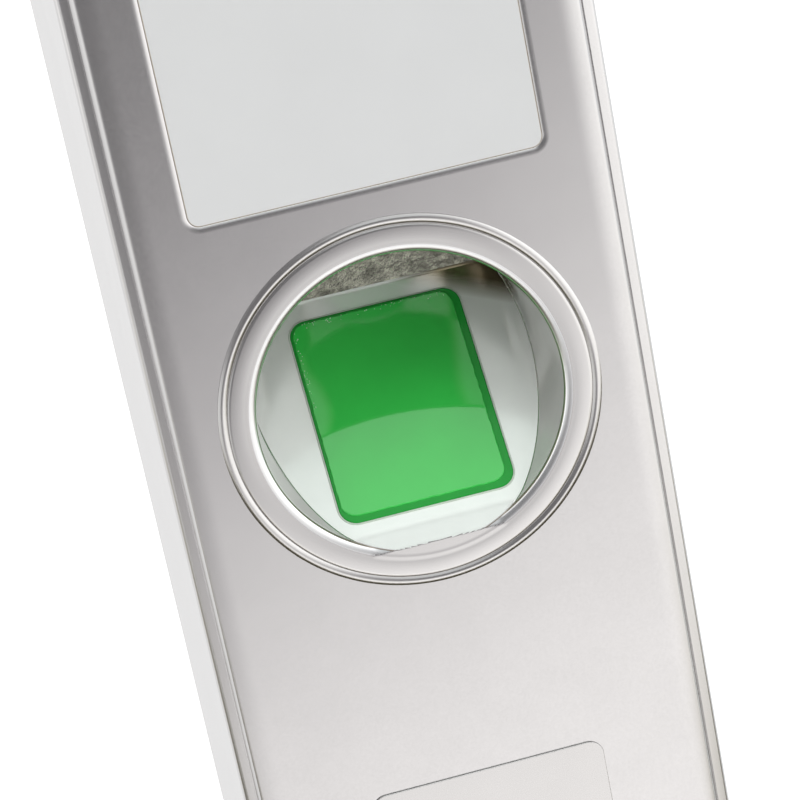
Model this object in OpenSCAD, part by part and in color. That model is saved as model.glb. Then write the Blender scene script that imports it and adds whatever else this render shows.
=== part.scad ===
// Wall-mounted fingerprint and card access terminal.
// +Z is up, the front looks along -Y and the wall is the plane Y = 0.
// The origin is the centre of the wall plate's rear face.

/* [Housing] */
// Width of the housing at the wall
body_w = 53.4; // [53:0.1:54]
// Height of the housing at the wall
body_h = 150; // [149:1:160]
// Depth from the wall to the face of the finger ring
body_d = 38; // [37.5:0.5:42]
// Amount each side leans in between the wall and the front step
side_lean = 1.5; // [1:0.1:2]
// Corner radius of the housing outline
corner_r = 6; // [5:0.5:8]
// Thickness of the cast walls
wall_t = 2; // [1.6:0.1:2.2]

/* [Front face] */
// Height of the raised front plate above the edge step
step_h = 0.75; // [0.5:0.05:1]
// Distance from the edge step's rim to the top of the plate's shoulder
step_w = 1.8; // [1.4:0.1:2]
// Width of the sloping shoulder round the plate
shoulder_w = 0.55; // [0.3:0.05:0.8]
// Height of the finger ring above the plate
ring_rise = 0.25; // [0.1:0.05:0.4]

/* [Card panel] */
// Width of the card reader panel
panel_w = 35.6; // [35:0.1:36]
// Height of the card reader panel
panel_h = 56; // [50:1:56]
// Corner radius of the card reader panel
panel_r = 1.3; // [1:0.1:2]
// Height of the panel's lower edge above the ring's centre
panel_above_ring = 22.4; // [22:0.1:23]

/* [Finger well] */
// Height of the ring's centre, from the middle of the housing
ring_z = -13; // [-14:0.5:-12]
// Outer radius of the ring
ring_r = 19.35; // [19.2:0.05:19.5]
// Radius where the ring's face starts to roll into the well
lip_r = 16.55; // [16.4:0.05:16.7]
// Radius of the well just behind its rolled lip
bore_top_r = 15.55; // [15.4:0.05:15.7]
// Radius of the well from the end of its taper down
bore_r = 14.9; // [14.8:0.05:15]
// Depth at which the well's taper ends
taper_d = 9; // [7:0.5:12]
// Depth of the well at its top
well_d = 19.3; // [19:0.1:19.5]
// Distance of the straight lower edge below the ring's centre
chord_drop = 14.9; // [14.7:0.05:15]
// Slope of the bevel between the straight edge and the well's floor
bevel_angle = 20; // [16:0.5:24]

/* [Sensor] */
// Angle between the glass and the front face
sensor_tilt = 43.3; // [43:0.1:43.6]
// Width of the glass
glass_w = 18.25; // [18:0.05:18.4]
// Length of the glass along the finger
glass_l = 23.25; // [23:0.05:23.4]
// Corner radius of the glass
glass_r = 1.8; // [1.5:0.1:2]
// Depth of the glass's centre behind the ring's face
glass_depth = 9.6; // [9.5:0.05:9.7]
// Distance of the glass's centre below the ring's centre
glass_drop = 3.1; // [3:0.05:3.2]
// Height of the glass above the well's floor
glass_rise = 0.3; // [0.2:0.05:0.4]

/* [Name label] */
// Width of the blank label
label_w = 25; // [24:0.5:26]
// Height of the blank label
label_h = 11; // [9:0.5:12]
// Distance of the label's top edge below the ring's centre
label_drop = 41.4; // [41:0.1:42]

/* [Wall mounting] */
// Sideways spacing of the wall screw holes
wall_hole_x = 28; // [26:1:28]
// Upright spacing of the wall screw holes
wall_hole_z = 60; // [58:1:62]
// Radius of the wall screw holes
wall_hole_r = 2.2; // [2:0.1:2.4]
// Bore radius of the cable grommet
cable_r = 3; // [2.5:0.1:3.2]

/* [Hidden] */
$fn = 64;
eps = 0.01;
hull_fn = 32;
slip = 0.05;

// Depths, counted from the wall plane towards the front
ring_y = -body_d;
plate_y = ring_y + ring_rise;
step_y = plate_y + step_h;
inner_y = plate_y + wall_t;
step_out_w = body_w - 2 * side_lean;
step_out_h = body_h - 2 * side_lean;
plate_w = step_out_w - 2 * step_w;
plate_h = step_out_h - 2 * step_w;

// Wall plate, rear cover and seal
steel_t = 1.2;
wall_plate_w = 38;
wall_plate_h = 134;
cover_back_y = -4.6;
cover_t = 2;
cover_y = cover_back_y - cover_t;
cover_w = 48.3;
cover_h = 144.9;
seal_t = 1;
ledge_w = 44.4;
ledge_h = 141;
cover_post = [19, 67.4];
hook_x = 10;
hook_w = 6;
hook_z = 64;
hook_gap = 1.7;
hook_rise = 4.5;
cable_z = -48;
window_w = 20;
window_h = 22;
screw_y = -2.9;
tab_z = -69.2;
tab_w = 12;

// Card panel and the boards behind it
panel_z = ring_z + panel_above_ring + panel_h / 2;
panel_recess = 1.3;
panel_ledge = 1.3;
panel_sink = 0.1;
tape_t = 0.2;
panel_back_y = plate_y + panel_recess - tape_t;
pipe = [4, 22];
pipe_r = 1.2;
antenna_y = -34.4;
antenna_t = 1.2;
antenna_w = 31;
antenna_bottom = 4.6;
antenna_top = 70;
antenna_screw_z = [7.6, 67.3];
board_y = -11.6;
board_t = 1.6;
board_back_y = board_y + board_t;
board_w = 43;
board_bottom = -10;
board_top = 57;
board_post = [19.2, -6, 53];

// Name label
label_rise = 0.2;

// Finger guide and sensor
guide_r = 17.2;
guide_wall = 2;
guide_flange_t = 1.2;
clip_r = 16.6;
clip_t = 1;
floor_h = -glass_rise;
floor_back_h = floor_h - guide_wall;
gasket_t = 0.8;
prism_h = floor_back_h - gasket_t;
film_t = 0.15;
lens_y = -7;
lens_r = 3.5;
sensor_boss_x = 14.6;

// Parts on the main board
cell = [-14.5, 43];
terminal = [4, 52];
terminal_pitch = 3.8;
tamper = [12, 40];
tamper_r = 1.55;
reset = [-13, 12];
reset_r = 1.6;

module rounded_rect(w, h, r) {
    square([w - 2 * r, h], center = true);
    square([w, h - 2 * r], center = true);
    for (x = [-1, 1], z = [-1, 1])
        translate([x * (w / 2 - r), z * (h / 2 - r)])
            circle(r);
}

// Slab with a rounded outline that faces the front, from y_front back to y_back
module slab(w, h, r, y_front, y_back) {
    translate([0, y_back, 0])
        rotate([90, 0, 0])
            linear_extrude(y_back - y_front)
                rounded_rect(w, h, r);
}

// Frame with a rounded opening
module frame(w, h, r, border, y_front, y_back) {
    difference() {
        slab(w, h, r, y_front, y_back);
        slab(w - 2 * border, h - 2 * border, max(r - border, 0.3), y_front - 1, y_back + 1);
    }
}

// Round rod that runs from y_front back to y_back
module rod(r, y_front, y_back) {
    translate([0, y_back, 0])
        rotate([90, 0, 0])
            cylinder(r = r, h = y_back - y_front);
}

// Block given by its width, its height and its two faces
module block(w, h, y_front, y_back) {
    translate([-w / 2, y_front, -h / 2])
        cube([w, y_back - y_front, h]);
}

module at(x, z) {
    translate([x, 0, z])
        children();
}

// Pan head screw with a hexagon socket, its head at the back
module pan_screw(seat_y, shank_r, shank_l, head_r, head_h) {
    difference() {
        union() {
            rod(shank_r - slip, seat_y - shank_l, seat_y + eps);
            rod(head_r, seat_y, seat_y + head_h);
        }
        translate([0, seat_y + head_h + eps, 0])
            rotate([90, 0, 0])
                cylinder(r = head_r * 0.45, h = head_h * 0.6, $fn = 6);
    }
}

// Ring's own frame: z comes out of the ring's face and y points up
module in_ring_frame() {
    translate([0, ring_y, ring_z])
        rotate([90, 0, 0])
            children();
}

// Glass's own frame: z comes out of the glass and y runs up its slope
module in_glass_frame() {
    translate([0, ring_y + glass_depth, ring_z - glass_drop])
        rotate([90 - sensor_tilt, 0, 0])
            children();
}

// Wedge or box in the glass's frame: a side outline drawn as [y, z], stretched across by w
module across_glass(w, outline) {
    in_glass_frame()
        rotate([90, 0, 90])
            translate([0, 0, -w / 2])
                linear_extrude(w)
                    polygon(outline);
}

// Rounded slab in the glass's frame
module glass_slab(w, l, r, low, high) {
    in_glass_frame()
        translate([0, 0, low])
            linear_extrude(high - low)
                rounded_rect(w, l, r);
}

// Everything in front of the plane at height h in the glass's frame
module in_front_of(h) {
    in_glass_frame()
        translate([-40, -40, h])
            cube(80);
}

module wall_plate() {
    color("silver")
    difference() {
        union() {
            slab(wall_plate_w, wall_plate_h, 3, -steel_t, 0);
            for (side = [-1, 1])
                at(side * hook_x, hook_z)
                    wall_hook();
            translate([-tab_w / 2, cover_back_y + 0.3, tab_z])
                cube([tab_w, -cover_back_y - 0.3, steel_t]);
            translate([-tab_w / 2, -steel_t, tab_z])
                cube([tab_w, steel_t, 6]);
        }
        for (x = [-1, 1], z = [-1, 1])
            at(x * wall_hole_x / 2, z * wall_hole_z / 2)
                rod(wall_hole_r, -steel_t - 1, 1);
        at(0, cable_z)
            slab(window_w, window_h, 3, -steel_t - 1, 1);
        tab_fork();
    }
}

// Hook that reaches through the rear cover and turns up behind it
module wall_hook() {
    reach = -cover_y + hook_gap + steel_t;
    translate([-hook_w / 2, -reach, 0])
        cube([hook_w, reach, steel_t]);
    translate([-hook_w / 2, -reach, 0])
        cube([hook_w, steel_t, hook_rise]);
}

// Open fork that the security screw clamps
module tab_fork() {
    fork_r = 1.75;
    translate([0, screw_y, tab_z - 1])
        cylinder(r = fork_r, h = steel_t + 2);
    translate([-fork_r, screw_y - 4, tab_z - 1])
        cube([2 * fork_r, 4, steel_t + 2]);
}

module cover_outside() {
    hull() {
        slab(body_w, body_h, corner_r, -0.5, 0, $fn = hull_fn);
        slab(step_out_w, step_out_h, corner_r - side_lean / 2, step_y, step_y + 0.3, $fn = hull_fn);
    }
    hull() {
        slab(plate_w + 2 * shoulder_w, plate_h + 2 * shoulder_w, corner_r - 2, step_y - eps, step_y + 0.3,
            $fn = hull_fn);
        slab(plate_w, plate_h, corner_r - 2.5, plate_y, plate_y + 0.1, $fn = hull_fn);
    }
}

module cover_cavity() {
    hull() {
        slab(body_w - 2 * wall_t, body_h - 2 * wall_t, corner_r - wall_t, 0, 0.5, $fn = hull_fn);
        slab(step_out_w - 2 * wall_t, step_out_h - 2 * wall_t, corner_r - wall_t, inner_y, inner_y + 0.3,
            $fn = hull_fn);
    }
}

// Posts and the seal's ledge, cast with the cover
module cover_posts() {
    for (x = [-1, 1]) {
        for (z = [-1, 1])
            at(x * cover_post[0], z * cover_post[1])
                rod(3, inner_y - eps, cover_y - slip);
        for (z = [board_post[1], board_post[2]])
            at(x * board_post[0], z)
                rod(2.5, inner_y - eps, board_y);
    }
    for (z = antenna_screw_z)
        at(0, z)
            rod(2.1, inner_y - eps, antenna_y);
    difference() {
        slab(50, 146.6, 3, cover_y - seal_t - 2, cover_y - seal_t);
        slab(ledge_w, ledge_h, 2, cover_y - seal_t - 3, cover_y);
    }
}

module front_cover() {
    color("lightgray")
    difference() {
        union() {
            difference() {
                cover_outside();
                cover_cavity();
            }
            cover_posts();
        }
        at(0, panel_z) {
            slab(panel_w, panel_h, panel_r, plate_y - 1, plate_y + panel_recess);
            slab(panel_w - 2 * panel_ledge, panel_h - 2 * panel_ledge, 1, plate_y - 1, inner_y + 0.5);
        }
        at(0, ring_z) {
            rod(ring_r + slip, plate_y - 1, ring_y + guide_flange_t);
            rod(guide_r + 0.2, plate_y - 1, inner_y + 1);
        }
        at(0, ring_z - label_drop - label_h / 2)
            slab(label_w + 0.1, label_h + 0.1, 1.65, plate_y - 1, plate_y + 0.25);
        for (x = [-1, 1]) {
            for (z = [-1, 1])
                at(x * cover_post[0], z * cover_post[1])
                    rod(1.5, cover_y - 10, cover_y + 1);
            for (z = [board_post[1], board_post[2]])
                at(x * board_post[0], z)
                    rod(1.25, board_y - 8, board_y + 1);
        }
        for (z = antenna_screw_z)
            at(0, z)
                rod(0.9, plate_y + 1.2, antenna_y + 1);
        translate([0, screw_y, -body_h / 2 - 1])
            cylinder(r = 1.6, h = wall_t + 4);
        translate([0, screw_y, -body_h / 2 - 1])
            cylinder(r = 2.85, h = 2.2);
    }
}

// Hollow of the finger well: round bore, rolled lip, sloping floor and lower bevel
module well_hollow() {
    lip = lip_r - bore_top_r;
    intersection() {
        in_ring_frame() {
            translate([0, 0, -well_d])
                cylinder(r = bore_r, h = well_d + 1);
            translate([0, 0, -taper_d])
                cylinder(r1 = bore_r, r2 = bore_top_r, h = taper_d - lip);
            translate([0, 0, -lip])
                rotate_extrude()
                    difference() {
                        square([lip_r, lip + 0.5]);
                        translate([lip_r, 0])
                            circle(lip);
                    }
        }
        union() {
            in_front_of(floor_h);
            in_ring_frame()
                translate([-20, -chord_drop, 0])
                    rotate([-bevel_angle, 0, 0])
                        cube([40, 8, 6]);
        }
    }
}

module finger_guide() {
    color("whitesmoke")
    difference() {
        union() {
            at(0, ring_z)
                rod(ring_r, ring_y, ring_y + guide_flange_t);
            intersection() {
                at(0, ring_z)
                    rod(guide_r, ring_y + eps, ring_y + well_d + guide_wall);
                in_front_of(floor_back_h);
            }
            for (x = [-1, 1])
                in_glass_frame()
                    translate([x * sensor_boss_x, 0, floor_back_h - 3.7])
                        cylinder(r = 2.2, h = 4.2);
        }
        well_hollow();
        glass_slab(glass_w + 0.5, glass_l + 0.5, glass_r + 0.25, floor_back_h - 1, 1);
        for (x = [-1, 1])
            in_glass_frame()
                translate([x * sensor_boss_x, 0, floor_back_h - 4])
                    cylinder(r = 1, h = 4.3);
        at(0, ring_z)
            difference() {
                rod(guide_r + 1, inner_y + 0.05, inner_y + 0.15 + clip_t);
                rod(clip_r, inner_y - 1, inner_y + 3);
            }
    }
}

// Spring clip that holds the finger guide from behind, open at the bottom
module guide_clip() {
    color("dimgray")
    difference() {
        at(0, ring_z)
            difference() {
                rod(guide_r + 0.55, inner_y + 0.1, inner_y + 0.1 + clip_t);
                rod(clip_r + slip, inner_y - 1, inner_y + 3);
            }
        translate([-12.5, inner_y - 1, ring_z - 20])
            cube([25, 4, 11]);
    }
}

module card_panel() {
    color("gainsboro")
    at(0, panel_z)
        difference() {
            slab(panel_w - 0.3, panel_h - 0.3, panel_r - 0.15, plate_y + panel_sink, panel_back_y);
            for (x = [-1, 1])
                at(x * pipe[0], pipe[1])
                    rod(pipe_r + slip, plate_y - 1, inner_y);
        }
}

module panel_adhesive() {
    color("tan")
    at(0, panel_z)
        frame(panel_w - 0.4, panel_h - 0.4, panel_r - 0.2, panel_ledge - 0.2, panel_back_y, panel_back_y + tape_t);
}

module light_pipes() {
    color("white", 0.7)
    for (x = [-1, 1])
        at(x * pipe[0], panel_z + pipe[1]) {
            rod(pipe_r, plate_y + panel_sink, panel_back_y + 0.3);
            rod(pipe_r + 0.7, panel_back_y, panel_back_y + 0.6);
        }
}

module status_leds() {
    color("khaki")
    for (x = [-1, 1])
        at(x * pipe[0], panel_z + pipe[1])
            block(2, 1.2, antenna_y - 0.8, antenna_y);
}

module antenna_board() {
    color("darkgreen")
    difference() {
        translate([-antenna_w / 2, antenna_y, antenna_bottom])
            cube([antenna_w, antenna_t, antenna_top - antenna_bottom]);
        for (z = antenna_screw_z)
            at(0, z)
                rod(1.1, antenna_y - 1, antenna_y + antenna_t + 1);
    }
}

// Reader coil, printed as nested copper loops
module antenna_coil() {
    pitch = 2.2;
    color("peru")
    for (turn = [0:3])
        at(0, panel_z)
            frame(29 - pitch * turn, 41 - pitch * turn, 2.5, 0.6, antenna_y - 0.15, antenna_y);
}

module antenna_screws() {
    color("silver")
    for (z = antenna_screw_z)
        at(0, z)
            pan_screw(antenna_y + antenna_t, 0.95, 2.6, 1.9, 1.2);
}

// Flat lead between the reader board and the main board, with a plug on each end
module antenna_cable() {
    lead_y = antenna_y + antenna_t;
    color("ivory")
    at(-3, 42) {
        block(7, 3, lead_y, lead_y + 2.5);
        block(5, 1, lead_y + 2.4, board_y - 2.4);
        block(7, 3, board_y - 2.5, board_y);
    }
}

module name_label() {
    color("lightsteelblue")
    at(0, ring_z - label_drop - label_h / 2)
        slab(label_w, label_h, 1.6, plate_y - label_rise, plate_y + 0.25);
}

module sensor_film() {
    color("limegreen", 0.8)
    glass_slab(glass_w - 0.5, glass_l - 0.5, glass_r - 0.25, -film_t, 0);
}

// Optical prism: the raised glass and the wedge behind it
module sensor_prism() {
    color("green", 0.7)
    union() {
        glass_slab(glass_w, glass_l, glass_r, prism_h - 0.5, -film_t);
        across_glass(21, [[-12.8, prism_h], [12.8, prism_h], [12.8, -6.5], [6.5, -10], [-12.8, -10]]);
    }
}

module sensor_gasket() {
    color("black")
    difference() {
        glass_slab(21, 25.6, 2, prism_h, floor_back_h);
        glass_slab(glass_w + 0.4, glass_l + 0.4, glass_r + 0.2, prism_h - 1, floor_back_h + 1);
    }
}

// Dark moulded case that holds the prism, its lights and the camera
module sensor_housing() {
    front_h = floor_back_h - 0.2;
    color("dimgray")
    difference() {
        union() {
            across_glass(24.2, [[-12.9, front_h], [14.2, front_h], [14.2, -7.5], [5.6, -13.7], [-14, -13.7],
                [-14, -3.7]]);
            in_glass_frame()
                translate([0, lens_y, -20.3])
                    cylinder(r = lens_r + 1.6, h = 7);
            for (x = [-1, 1])
                in_glass_frame()
                    translate([x * (sensor_boss_x - 1.5), 0, floor_back_h - 4.5])
                        cube([7, 5, 1.4], center = true);
        }
        across_glass(21.6, [[-13, 0], [13.1, 0], [13.1, -7], [5.2, -12.6], [-13, -12.6]]);
        in_glass_frame()
            translate([0, lens_y, -21])
                cylinder(r = lens_r + slip, h = 9);
        for (x = [-1, 1])
            in_glass_frame()
                translate([x * sensor_boss_x, 0, -10])
                    cylinder(r = 1.2, h = 9);
    }
}

module sensor_screws() {
    seat = floor_back_h - 5.2;
    color("silver")
    for (x = [-1, 1])
        in_glass_frame()
            translate([x * sensor_boss_x, 0, seat]) {
                translate([0, 0, -eps])
                    cylinder(r = 1 - slip, h = 4.6);
                translate([0, 0, -1.2])
                    cylinder(r = 1.9, h = 1.2);
            }
}

module led_board() {
    color("darkgreen")
    across_glass(19, [[0, -11.9], [6.2, -11.9], [6.2, -11.1], [0, -11.1]]);
}

module illumination_leds() {
    color("palegreen")
    for (x = [-6.5:6.5:6.5])
        translate([x, 0, 0])
            across_glass(1.6, [[2.6, -11.1], [3.6, -11.1], [3.6, -10.4], [2.6, -10.4]]);
}

module camera_lens() {
    color("black")
    in_glass_frame()
        translate([0, lens_y, 0])
            difference() {
                translate([0, 0, -20.1])
                    cylinder(r = lens_r, h = 7.4);
                translate([0, 0, -13.4])
                    cylinder(r1 = 1.4, r2 = 2.6, h = 1, $fn = 32);
            }
}

module camera_board() {
    color("darkgreen")
    across_glass(16, [[-14, -21.6], [2, -21.6], [2, -20.4], [-14, -20.4]]);
}

module image_chip() {
    color("black")
    across_glass(7, [[lens_y - 3.5, -22.5], [lens_y + 3.5, -22.5], [lens_y + 3.5, -21.6], [lens_y - 3.5, -21.6]]);
}

// Flat film cable from the camera board up to the main board
module ribbon_cable() {
    color("orange")
    translate([-4, 0, 0])
        rotate([90, 0, 90])
            linear_extrude(8)
                polygon([[-12.7, -31.3], [-12.45, -31.55], [-9.1, -27.5], [-9.1, -7], [-9.4, -7], [-9.4, -27.4]]);
}

module ribbon_connectors() {
    color("ivory") {
        at(0, -6)
            block(11, 4, board_back_y, board_back_y + 1.6);
        across_glass(11, [[-2, -22.9], [1, -22.9], [1, -21.6], [-2, -21.6]]);
    }
}

module main_board() {
    color("darkgreen")
    difference() {
        translate([-board_w / 2, board_y, board_bottom])
            cube([board_w, board_t, board_top - board_bottom]);
        for (x = [-1, 1], z = [board_post[1], board_post[2]])
            at(x * board_post[0], z)
                rod(1.5, board_y - 1, board_back_y + 1);
    }
}

module board_chips() {
    color("black") {
        at(-5, 22)
            block(12, 12, board_y - 1.4, board_y);
        at(-13, 31)
            block(6, 8, board_y - 1, board_y);
        at(2.2, 34.5)
            block(7, 6, board_y - 1, board_y);
        at(-4, 2)
            block(5, 5, board_y - 1, board_y);
        at(-1, 30)
            block(10, 6, board_back_y, board_back_y + 1.2);
    }
}

module board_screws() {
    color("silver")
    for (x = [-1, 1], z = [board_post[1], board_post[2]])
        at(x * board_post[0], z)
            pan_screw(board_back_y, 1.25, 7, 2.2, 1.6);
}

module relay() {
    color("royalblue")
    at(11, 20)
        block(15, 19, board_y - 15, board_y - 0.2);
}

module buzzer() {
    color("black")
    at(12, 40)
        difference() {
            rod(6, board_y - 9.5, board_y);
            rod(1.2, board_y - 10, board_y - 8);
        }
}

module capacitors() {
    color("slategray")
    for (z = [10, 19])
        at(-16, z)
            rod(4, board_y - 11.5, board_y);
}

module cell_holder() {
    color("dimgray")
    at(cell[0], cell[1])
        difference() {
            block(12, 12, board_y - 4, board_y);
            rod(5.3, board_y - 5, board_y - 0.8);
        }
}

module coin_cell() {
    color("silver")
    at(cell[0], cell[1])
        rod(5.2, board_y - 3.6, board_y - 0.8);
}

// Screw terminals for the supply, door lock and data wires
module terminal_block() {
    color("green")
    at(terminal[0], terminal[1])
        difference() {
            block(24, 7, board_y - 9, board_y);
            for (way = [-2.5:1:2.5])
                at(way * terminal_pitch, 0) {
                    rod(1.4, board_y - 10, board_y - 7);
                    translate([-1.3, board_y - 5, 0])
                        cube([2.6, 3, 5]);
                }
        }
}

module terminal_screws() {
    color("silver")
    for (way = [-2.5:1:2.5])
        at(terminal[0] + way * terminal_pitch, terminal[1])
            difference() {
                rod(1.35, board_y - 8.4, board_y - 7);
                block(3, 0.5, board_y - 9, board_y - 8);
            }
}

module tamper_switch() {
    color("black")
    at(tamper[0], tamper[1])
        difference() {
            block(6, 6, board_back_y, -7);
            rod(tamper_r + slip, -9.6, -6);
        }
}

// Plunger that the wall plate holds in
module tamper_plunger() {
    color("red")
    at(tamper[0], tamper[1])
        rod(tamper_r, -8.3, -steel_t - 0.05);
}

module reset_switch() {
    color("silver")
    at(reset[0], reset[1])
        difference() {
            block(5, 5, board_back_y, -7.8);
            rod(reset_r + slip, -9, -7);
        }
}

module reset_button() {
    color("black")
    at(reset[0], reset[1])
        rod(reset_r, -8.4, -7.2);
}

// Closed pocket in the rear cover for one hook of the wall plate
module hook_pocket(grow) {
    at(0, 64.3)
        block(8 + 2 * grow, 9 + 2 * grow, -10.6 - grow, cover_y + eps);
}

module rear_cover() {
    color("darkslategray")
    difference() {
        union() {
            slab(cover_w, cover_h, 3.5, cover_y, cover_back_y);
            for (side = [-1, 1])
                at(side * hook_x, 0)
                    hook_pocket(1);
            at(0, cable_z)
                rod(10, cover_y - 1.5, cover_y + eps);
        }
        for (side = [-1, 1])
            at(side * hook_x, 0) {
                hook_pocket(0);
                at(0, 62.7)
                    block(7.4, 5.8, cover_y - 1, cover_back_y + 1);
            }
        for (x = [-1, 1], z = [-1, 1])
            at(x * cover_post[0], z * cover_post[1])
                rod(1.7, cover_y - 1, cover_back_y + 1);
        at(0, cable_z)
            rod(5.5, cover_y - 3, cover_back_y + 1);
        at(tamper[0], tamper[1])
            rod(tamper_r + 0.35, cover_y - 1, cover_back_y + 1);
        at(reset[0], reset[1])
            rod(1, cover_y - 1, cover_back_y + 1);
    }
}

module housing_seal() {
    color("black")
    frame(47.6, 144.2, 3, 1.5, cover_y - seal_t, cover_y);
}

module cable_grommet() {
    color("black")
    at(0, cable_z)
        difference() {
            union() {
                rod(5.4, cover_y - 2.5, cover_back_y + 1);
                rod(7, cover_back_y, cover_back_y + 1.2);
                rod(7, cover_y - 2.7, cover_y - 1.5);
            }
            rod(cable_r, cover_y - 4, cover_back_y + 2);
        }
}

module cover_screws() {
    color("silver")
    for (x = [-1, 1], z = [-1, 1])
        at(x * cover_post[0], z * cover_post[1])
            pan_screw(cover_back_y, 1.5, 9, 2.7, 1.9);
}

// Countersunk screw that clamps the housing to the wall plate's fork
module security_screw() {
    head_z = -body_h / 2 + 0.45;
    color("silver")
    translate([0, screw_y, head_z])
        difference() {
            union() {
                cylinder(r = 2.75, h = 0.75);
                cylinder(r = 1.5, h = 10);
            }
            translate([0, 0, -eps])
                cylinder(r = 1.2, h = 0.5, $fn = 6);
        }
}

wall_plate();
front_cover();
finger_guide();
guide_clip();
card_panel();
panel_adhesive();
light_pipes();
status_leds();
antenna_board();
antenna_coil();
antenna_screws();
antenna_cable();
name_label();
sensor_film();
sensor_prism();
sensor_gasket();
sensor_housing();
sensor_screws();
led_board();
illumination_leds();
camera_lens();
camera_board();
image_chip();
ribbon_cable();
ribbon_connectors();
main_board();
board_chips();
board_screws();
relay();
buzzer();
capacitors();
coin_cell();
cell_holder();
terminal_block();
terminal_screws();
tamper_switch();
tamper_plunger();
reset_switch();
reset_button();
rear_cover();
housing_seal();
cable_grommet();
cover_screws();
security_screw();
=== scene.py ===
"""Wall-mounted fingerprint and card terminal: looks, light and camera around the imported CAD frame.

Lengths in this script are millimetres; meshes are scaled to metres when they become pieces.
The object's front looks along -Y, its wall is the plane Y = 0 and +Z is up. A profile's growth is how far
an outline has grown outward, and its level is the place along Y, or the height above the glass.
"""

import math
import random

import bmesh
import bpy
from mathutils import Matrix, Vector, noise


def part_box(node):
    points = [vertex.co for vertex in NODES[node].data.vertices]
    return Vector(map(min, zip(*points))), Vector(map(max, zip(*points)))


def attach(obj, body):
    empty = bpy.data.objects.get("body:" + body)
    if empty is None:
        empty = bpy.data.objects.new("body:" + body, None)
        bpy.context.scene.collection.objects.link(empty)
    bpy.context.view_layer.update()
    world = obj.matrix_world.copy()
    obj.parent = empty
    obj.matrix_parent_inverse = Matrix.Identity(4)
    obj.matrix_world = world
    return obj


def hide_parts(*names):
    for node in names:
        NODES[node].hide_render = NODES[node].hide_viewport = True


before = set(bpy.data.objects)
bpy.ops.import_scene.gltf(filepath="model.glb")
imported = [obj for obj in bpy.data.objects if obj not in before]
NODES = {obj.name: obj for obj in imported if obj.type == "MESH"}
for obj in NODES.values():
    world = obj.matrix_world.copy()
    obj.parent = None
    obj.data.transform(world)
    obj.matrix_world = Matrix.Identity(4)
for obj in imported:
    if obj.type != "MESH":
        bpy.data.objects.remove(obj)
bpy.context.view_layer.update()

MM = 0.001
# Edges that turn by more than this are creases
SHARP = math.radians(32)


# ---------------------------------------------------------------- sizes from the frame

class Span:
    """A CAD node's box in millimetres."""

    def __init__(self, node):
        low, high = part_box(node)
        self.low = low / MM
        self.high = high / MM
        self.centre = (self.low + self.high) / 2
        self.size = self.high - self.low


COVER = Span("front_cover")
GUIDE = Span("finger_guide")
PANEL = Span("card_panel")
LABEL = Span("name_label")

# Front cover: plate with a crowned rim, shoulder with a seam at its foot, flange a step behind the plate,
# rounded edge, and walls that lean out to the rear
PLATE_Y = COVER.low.y
COVER_T = 2.0
INNER_Y = PLATE_Y + COVER_T
STEP_H = 0.75
STEP_Y = PLATE_Y + STEP_H
STEP_W = 1.8
SIDE_LEAN = 1.5
PLATE_W = COVER.size.x - 2 * (SIDE_LEAN + STEP_W)
PLATE_H = COVER.size.z - 2 * (SIDE_LEAN + STEP_W)
PLATE_R = 3.5
CROWN_W = 2.2
CROWN_DROP = 0.13
CROWN_POWER = 2.4
SHOULDER_TOP = PLATE_Y + CROWN_DROP
SHOULDER_FOOT = 0.43
SEAM_W = 0.08
SEAM_D = 0.18
EDGE_R = 0.60
EDGE_FALL = 0.08
REAR_R = 0.35

# Openings in the plate
GAP = 0.03
ROLL_W = 0.65
ROLL_D = 0.16
RECESS_D = 1.3
PANEL_R = 1.15
LABEL_R = 1.6
LABEL_D = 0.25

# Finger ring and well; depths run back from the ring's face
RING_Y = GUIDE.low.y
RING_R = GUIDE.size.x / 2
RING_Z = GUIDE.centre.z
FLANGE_T = 1.2
TUBE_R = 17.2
BEAD_W = 0.44
BEAD_H = 0.13
LIP_R = 16.55
LAND_CROWN = 0.02
BORE_TOP_R = 15.55
BORE_R = 14.9
TAPER_D = 9.0
TAPER_POWER = 1.6
LIP_W = LIP_R - BORE_TOP_R
LIP_DEPTH = 0.62
LIP_POWER = 0.75
WELL_D = 19.3
WALL_T = 2.0
FILLET = 0.16
CHORD_DROP = 14.9
BEVEL_SLOPE = math.tan(math.radians(20))
BEVEL_BLEND = 0.30
BACK_BLEND = 0.14

# Glass, in the well's sloping floor
TILT = math.radians(43.3)
SLOPE = math.tan(TILT)
GLASS_W = 18.25
GLASS_L = 23.25
GLASS_R = 1.8
GLASS_DEPTH = 9.6
GLASS_DROP = 3.1
GLASS_T = 3.4
FLOOR_H = -0.3
FILM_T = 0.15

# Light guides in the panel
PIPE_X = 4
PIPE_Z = PANEL.centre.z + 22
PIPE_R = 1.2


# ---------------------------------------------------------------- mesh helpers

def front(x, z, y):
    """Point on a surface that looks to the front."""
    return Vector((x, y, z))


def on_glass(u, v, h):
    """Point in the glass's frame: u across, v up its slope, h out of the glass."""
    rise = math.cos(TILT)
    run = math.sin(TILT)
    return Vector((u, RING_Y + GLASS_DEPTH + run * v - rise * h, RING_Z - GLASS_DROP + rise * v + run * h))


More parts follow.
